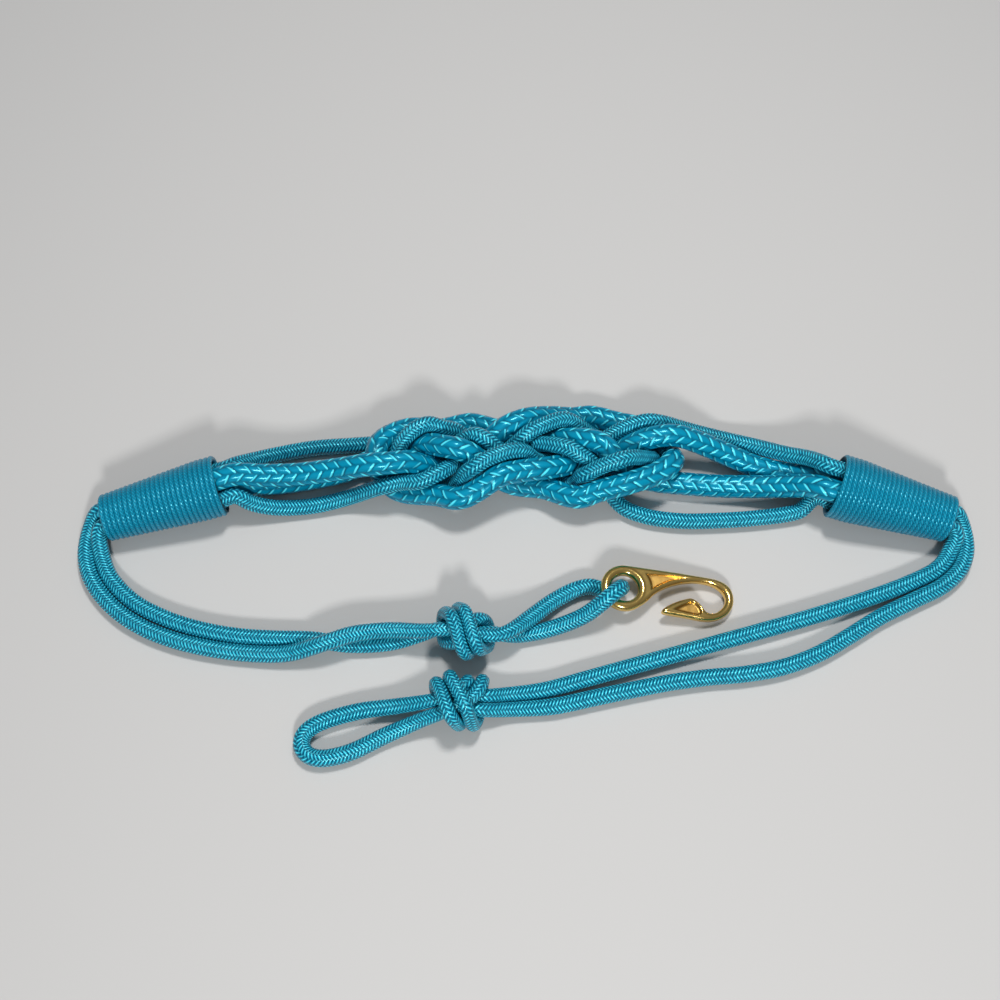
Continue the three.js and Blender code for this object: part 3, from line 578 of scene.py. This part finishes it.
def lining(name, mouth, axis, length, ridges, sizes):
    side, upright = across_axis(axis)
    turn = np.arange(LINING_AROUND) / LINING_AROUND * 2 * np.pi
    outward = np.cos(turn)[:, None] * side + np.sin(turn)[:, None] * upright
    half_way_in = [(PLUG_IN, "core"), (PLUG_IN, "inner"), (LINING_LIP, "inner"), (LINING_LIP, "outer")]
    half_way_out = [(length - depth, face) for depth, face in reversed(half_way_in)]
    sections = half_way_in + [(length / 2, "outer")] + half_way_out
    depths = np.array([depth for depth, face in sections])
    outer = np.interp(depths, ridges, sizes) - LINING_DEPTH
    reach = np.array([{"core": PLUG_CORE, "inner": size - LINING_WALL, "outer": size}[face]
                      for size, (depth, face) in zip(outer, sections)])
    grid = mouth + depths[:, None, None] * axis + reach[:, None, None] * outward[None, :, :]
    return grid_object(name, grid, 1, depths)


whippings = {}
for node, turns in WINDING_TURNS.items():
    mouth, axis, length, ridges, sizes = sleeve_measures(node)
    wound, cord_length = wound_cord(node.replace("whipping", "winding"), mouth, axis, length,
                                    ridges, sizes, turns)
    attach(wound, "root")
    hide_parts(node)
    inside = lining(node.replace("whipping", "lining"), mouth, axis, length, ridges, sizes)
    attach(inside, "root")
    whippings[node] = (wound, inside)
    print(f"{wound.name}: {turns} turns, {cord_length:.2f} m of fine cord,",
          len(wound.data.polygons), "faces")

# %% [markdown]
# The fine cord is the same nylon, with the same painted shade in its grooves, but its plaits are so
# small that most of its glitter comes from the lamps. So its painted highlights, the slivers, are
# weak, and its shallow bump leaves a bright dot on each turn where the turn faces half way between a
# lamp and the eye. The lining is nearly black with a faint grain: painted shade for the gaps between
# the turns and for the mouth.

# %% Finish of the windings
# The fine cord's painted highlights are kept weak by a low gain.
WINDING_LOOK = {"bump": 0.00011, "filaments": 3.0, "contrast": 1.1,
                "painted_glint_at": 0.0, "painted_glint_half": 0.4, "painted_glint_gain": 0.30}
LINING_DARK = (0.0, 0.02, 0.035)
LINING_PALE = (0.0, 0.07, 0.1)
LINING_GRAIN = 900.0
LINING_ROUGH = 0.8

winding_nylon = braided_nylon("wound fine nylon", WINDING_CORD, WINDING_LOOK)
# Painted shade: the lining and its plugs are nearly black, standing in for the shadow between the turns
# and in the mouth.
painted_shade_lining, start, shader = new_finish("dark lining of painted shade")
grain = start.node("ShaderNodeTexNoise", None, {"Scale": LINING_GRAIN, "Detail": 3.0})
shade_lining_colour = grain.mixed_colours(LINING_DARK, LINING_PALE)
start.tree.links.new(shade_lining_colour.socket, shader.inputs["Base Color"])
shader.inputs["Roughness"].default_value = LINING_ROUGH
for wound, inside in whippings.values():
    wound.data.materials.append(winding_nylon)
    inside.data.materials.append(painted_shade_lining)
print("finishes:", winding_nylon.name, "and", painted_shade_lining.name)

# %% [markdown]
# The hook is one casting: an eye with a rolled rim, a web with a hollow in it, a bow and a barbed
# tip. A plate cut out and bevelled keeps hard edges and goes wrong at the barb's point. A casting
# is better told as a distance: every point of a small block of air knows how far it lies from the
# hook's skin, rounded all round, and the skin is laid where that distance is nought.
# First the hook's own axes are measured on its solid, then its outline is drawn in that plane.

# %% Axes and outline of the hook
EYE_RADIUS = 0.0087
EYE_HOLE = 0.0051
HOOK_REACH = 0.0406
HOOK_THICK = 0.0040
OUTLINE_START = math.radians(84)
OUTLINE_END = math.radians(282)
CURVE_STEPS = 14
FACING_UP = 0.9


def curve_points(*handles):
    """Points of a Bezier curve with any number of handles, without its first point."""
    shares = np.linspace(0, 1, CURVE_STEPS + 1)[1:, None]
    levels = [np.array(handle, float) for handle in handles]
    while len(levels) > 1:
        levels = [a + (b - a) * shares for a, b in zip(levels[:-1], levels[1:])]
    return levels[0]


def arc_points(radius, start, end, steps):
    turn = np.linspace(start, end, steps)
    return radius * np.stack([np.cos(turn), np.sin(turn)], axis=1)


def joined(stretches):
    """Each stretch of handles starts where the last one ended; handles are shares of the reach."""
    points = [stretches[0]]
    for handles in stretches[1:]:
        placed = [np.array(handle) * HOOK_REACH for handle in handles]
        points.append(curve_points(points[-1][-1], *placed))
    return np.vstack(points)


hook_outline = joined([
    arc_points(EYE_RADIUS, OUTLINE_START, OUTLINE_END, 48),
    [(0.16, -0.17), (0.245, -0.075)],
    [(0.33, 0.012), (0.5, 0.06)],
    [(0.66, 0.1), (0.78, 0.07)],
    [(0.93, 0.03), (0.97, -0.09), (0.86, -0.18)],
    [(0.79, -0.235), (0.73, -0.19)],
    [(0.70, -0.14), (0.67, -0.09), (0.6, -0.072)],
    [(0.47, -0.1), (0.37, -0.165)],
    [(0.28, -0.225), (0.39, -0.235)],
    [(0.52, -0.25), (0.66, -0.275)],
    [(0.86, -0.31), (1.0, -0.2), (1.0, -0.06)],
    [(1.0, 0.07), (0.9, 0.115), (0.78, 0.13)],
    [(0.64, 0.147), (0.5, 0.165)],
])
web_hollow = joined([
    arc_points(0.2300 * HOOK_REACH, math.radians(-8), math.radians(38), 10),
    [(0.34, 0.148), (0.46, 0.135)],
    [(0.58, 0.122), (0.64, 0.112)],
    [(0.52, 0.1), (0.40, 0.062)],
    [(0.31, 0.02), (0.2278, -0.032)],
])
barb_hollow = joined([
    np.array([[0.415, -0.195]]) * HOOK_REACH,
    [(0.5, -0.135), (0.6, -0.105)],
    [(0.655, -0.1), (0.69, -0.17)],
    [(0.72, -0.24), (0.64, -0.245)],
    [(0.52, -0.225), (0.415, -0.195)],
])


def hook_axes():
    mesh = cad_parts["brass_hook"].data
    up = max(mesh.polygons, key=lambda face: face.area * (face.normal.z > FACING_UP)).normal
    up = np.array(up) / np.linalg.norm(up)
    along = np.cross((0, 1, 0), up)
    places = np.array([corner.co for corner in mesh.vertices])
    eye_along = (places @ along).min() + EYE_RADIUS
    eye_across = places[:, 1].max() - EYE_RADIUS * math.sin(OUTLINE_START)
    foot = (places @ up).max() - HOOK_THICK
    return along, up, along * eye_along + np.array((0, eye_across, 0)) + up * foot


hook_along, hook_up, hook_eye = hook_axes()
print("hook's eye at", np.round(hook_eye, 4), "and its plate leans",
      round(math.degrees(math.acos(hook_up[2])), 1), "degrees")

# %% [markdown]
# The distance to an outline is the least distance to any of its short straight pieces, with a
# minus sign inside. A plate with a round edge follows from it in one line. The hollows push the
# upper face down by as much as a point lies inside them, and the eye's rim is a thick ring.

# %% Distance field and skin of the hook
CELL = 0.00021
MARGIN = 4 * CELL
EDGE_ROUND = 0.0015
HOLLOW_DEPTH = 0.0011
HOLLOW_SLOPE = 0.0011
RIM_HIGH = 0.00215
NO_LENGTH = 1e-16


def outline_distance(points, outline):
    best = np.full(len(points), np.inf)
    inside = np.zeros(len(points), bool)
    for a, b in zip(outline, np.roll(outline, -1, axis=0)):
        edge, off = b - a, points - a
        length_squared = edge @ edge
        if length_squared < NO_LENGTH:
            continue
        share = np.clip(off @ edge / length_squared, 0, 1)
        best = np.minimum(best, np.linalg.norm(off - share[:, None] * edge, axis=1))
        spans = (a[1] > points[:, 1]) != (b[1] > points[:, 1])
        with np.errstate(divide="ignore", invalid="ignore"):
            inside ^= spans & (points[:, 0] < edge[0] * off[:, 1] / edge[1] + a[0])
    return np.where(inside, -best, best)


def hollow_depth(points):
    inside = -np.minimum(outline_distance(points, web_hollow), outline_distance(points, barb_hollow))
    share = np.clip(inside / HOLLOW_SLOPE, 0, 1)
    return HOLLOW_DEPTH * share * share * (3 - 2 * share)


def skin_of(field, corner, cell):
    """One point in every cell that the skin crosses, and one quad round every crossed edge."""
    cells = np.array(field.shape) - 1
    total, count = np.zeros((*cells, 3)), np.zeros(cells)
    crossings = []
    for k in range(3):
        u, v = (k + 1) % 3, (k + 2) % 3
        low = np.moveaxis(field, (k, u, v), (0, 1, 2))
        first, second = low[:-1], low[1:]
        crossed = (first < 0) != (second < 0)
        share = np.where(crossed, first / np.where(crossed, first - second, 1), 0)
        crossings.append((k, u, v, crossed, first < 0))
        cell_total = np.moveaxis(total, (k, u, v), (0, 1, 2))
        cell_count = np.moveaxis(count, (k, u, v), (0, 1, 2))
        for du in (0, 1):
            for dv in (0, 1):
                part = (slice(None), slice(du, du + cells[u]), slice(dv, dv + cells[v]))
                cell_total[..., k] += share[part]
                cell_total[..., u] += crossed[part] * du
                cell_total[..., v] += crossed[part] * dv
                cell_count += crossed[part]
    used = count > 0
    names = np.full(tuple(cells), -1)
    names[used] = np.arange(used.sum())
    points = corner + (np.argwhere(used) + total[used] / count[used][:, None]) * cell
    quads = []
    for k, u, v, crossed, first_inside in crossings:
        at = np.argwhere(crossed[:, 1:-1, 1:-1]) + (0, 1, 1)
        flip = ~first_inside[tuple(at.T)]
        around = []
        for du, dv in ((1, 1), (0, 1), (0, 0), (1, 0)):
            place = np.empty_like(at)
            place[:, (k, u, v)] = at - (0, du, dv)
            around.append(names[tuple(place.T)])
        ring = np.stack(around, axis=1)
        ring[flip] = ring[flip][:, ::-1]
        quads.append(ring)
    return points, np.vstack(quads)


def hook_field():
    """The distance to the hook's skin at every point of a grid, and the grid's first corner."""
    low = np.append(hook_outline.min(0), 0) - MARGIN
    high = np.append(hook_outline.max(0), HOOK_THICK) + MARGIN
    lines = [np.arange(low[k], high[k] + CELL, CELL) for k in range(3)]
    flat = np.stack(np.meshgrid(lines[0], lines[1], indexing="ij"), axis=-1).reshape(-1, 2)
    eye_reach = np.linalg.norm(flat, axis=1)
    plan = np.maximum(outline_distance(flat, hook_outline), EYE_HOLE - eye_reach)
    height = lines[2][None, :] - HOOK_THICK / 2
    sunk = np.where(height > 0, hollow_depth(flat)[:, None], 0)
    over_edge = plan[:, None] + EDGE_ROUND
    over_face = np.abs(height) + sunk - (HOOK_THICK / 2 - EDGE_ROUND)
    plate = (np.minimum(np.maximum(over_edge, over_face), 0)
             + np.hypot(np.maximum(over_edge, 0), np.maximum(over_face, 0)) - EDGE_ROUND)
    rim_middle = (EYE_RADIUS + EYE_HOLE) / 2
    rim_wide = (EYE_RADIUS - EYE_HOLE) / 2
    rim = (np.hypot((eye_reach[:, None] - rim_middle) / rim_wide, height / RIM_HIGH) - 1) * rim_wide
    return np.minimum(plate, rim).reshape([len(line) for line in lines]), low


def cast_hook():
    field, low = hook_field()
    points, quads = skin_of(field, low, CELL)
    mesh = bpy.data.meshes.new("cast_hook")
    in_plane = points[:, :1] * hook_along + points[:, 1:2] * (0, 1, 0)
    placed = hook_eye + in_plane + points[:, 2:] * hook_up
    mesh.from_pydata(placed.tolist(), [], quads.tolist())
    mesh.polygons.foreach_set("use_smooth", np.ones(len(quads), bool))
    shade = mesh.attributes.new("hollow", "FLOAT", "POINT")
    upper = points[:, 2] > HOOK_THICK / 2
    how_hollow = hollow_depth(points[:, :2]) / HOLLOW_DEPTH * upper
    shade.data.foreach_set("value", how_hollow.astype(np.float32))
    piece = bpy.data.objects.new("cast_hook", mesh)
    scene.collection.objects.link(piece)
    return piece


hook = cast_hook()
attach(hook, "root")
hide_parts("brass_hook")
print(hook.name, "has", len(hook.data.polygons), "faces")

# %% [markdown]
# Polished brass is nearly a mirror, tinted yellow. The buffing wheel doesn't reach the hollows,
# so they stay a little rougher and browner, and the skin of the casting is faintly uneven.

# %% Polished brass
BRASS_BRIGHT = (0.78, 0.53, 0.16)
BRASS_BROWN = (0.42, 0.21, 0.045)
BRASS_ROUGH = 0.16
HOLLOW_ROUGH = 0.16
HOLLOW_BROWN = 0.65
CLOUD = {"scale": 420.0, "brown": 0.7, "least": -0.02}
GRAIN = {"scale": 2600.0, "rough": 0.12, "bump": 0.15}
BRASS_DETAIL = 2.0
UNEVEN_STRENGTH = 0.5
UNEVEN_DEPTH = 0.00012

brass, start, shader = new_finish("polished cast brass")
place = start.node("ShaderNodeTexCoord", None, None, 3)
hollow = start.node("ShaderNodeAttribute", {"attribute_name": "hollow"}, None, 2)
cloud = start.node("ShaderNodeTexNoise", None,
                   {"Vector": place, "Scale": CLOUD["scale"], "Detail": BRASS_DETAIL}) - 0.5
grain = start.node("ShaderNodeTexNoise", None,
                   {"Vector": place, "Scale": GRAIN["scale"], "Detail": BRASS_DETAIL}) - 0.5
brown = (hollow * HOLLOW_BROWN + cloud * CLOUD["brown"] + CLOUD["least"]).clamped()
brass_colour = brown.mixed_colours(BRASS_BRIGHT, BRASS_BROWN)
start.tree.links.new(brass_colour.socket, shader.inputs["Base Color"])
rough = (BRASS_ROUGH + hollow * HOLLOW_ROUGH + grain * GRAIN["rough"]).clamped()
start.tree.links.new(rough.socket, shader.inputs["Roughness"])
uneven = start.node("ShaderNodeBump", None, {"Strength": UNEVEN_STRENGTH, "Distance": UNEVEN_DEPTH,
                                             "Height": cloud + grain * GRAIN["bump"]})
start.tree.links.new(uneven.socket, shader.inputs["Normal"])
shader.inputs["Metallic"].default_value = 1.0
hook.data.materials.append(brass)
print("finish:", brass.name)

# %% [markdown]
# The table and the light are only there to show the belt. The floor is plain and pale. One soft
# lamp hangs nearly overhead, a little behind the belt. The other shines from the near side: it
# throws the soft shadows behind the ropes. Each lamp also leaves its row of bright dots along the
# sleeves. A pale sky fills the shadows. The picture is shown without a film curve, because a film
# curve washes out strong blues.

# %% Floor, lamps and sky
FLOOR_SIZE = 30.0
FLOOR_DARK = (0.54, 0.53, 0.515)
FLOOR_PALE = (0.59, 0.58, 0.565)
FLOOR_CLOUDS = 6.0
FLOOR_ROUGH = 0.7
LAMPS = (
    ("window", (0.07, 0.27, 0.90), 0.15, 5.0),
    ("front lamp", (0.05, -0.75, 0.60), 0.12, 5.2),
)
HORIZON = (0.45, 0.46, 0.48)
ZENITH = (0.80, 0.84, 0.90)
SKY_FADE = 2.0
SKY_STRENGTH = 0.36

half = FLOOR_SIZE / 2
floor_corners = [(-half, -half, 0), (half, -half, 0), (half, half, 0), (-half, half, 0)]
floor_mesh = bpy.data.meshes.new("floor")
floor_mesh.from_pydata(floor_corners, [], [(0, 1, 2, 3)])
floor = bpy.data.objects.new("floor", floor_mesh)
scene.collection.objects.link(floor)
pale_floor, start, shader = new_finish("pale floor")
cloudy = start.node("ShaderNodeTexNoise", None, {"Scale": FLOOR_CLOUDS, "Detail": 2.0})
floor_colour = cloudy.mixed_colours(FLOOR_DARK, FLOOR_PALE)
start.tree.links.new(floor_colour.socket, shader.inputs["Base Color"])
shader.inputs["Roughness"].default_value = FLOOR_ROUGH
floor_mesh.materials.append(pale_floor)

for name, place, size, watts in LAMPS:
    lamp_data = bpy.data.lights.new(name, "AREA")
    lamp_data.size = size
    lamp_data.energy = watts
    lamp = bpy.data.objects.new(name, lamp_data)
    lamp.location = place
    lamp.rotation_euler = (-Vector(place)).to_track_quat("-Z", "Y").to_euler()
    scene.collection.objects.link(lamp)

sky = bpy.data.worlds.new("sky")
sky.use_nodes = True
air = Wire(sky.node_tree)
background = sky.node_tree.nodes["Background"]
up_in_sky = air.node("ShaderNodeSeparateXYZ", None, {0: air.node("ShaderNodeTexCoord")}, 2)
sky_colour = (up_in_sky ** SKY_FADE).clamped().mixed_colours(HORIZON, ZENITH)
sky.node_tree.links.new(sky_colour.socket, background.inputs["Color"])
background.inputs["Strength"].default_value = SKY_STRENGTH
scene.world = sky
scene.view_settings.view_transform = "Standard"
print("lamps:", ", ".join(lamp[0] for lamp in LAMPS))
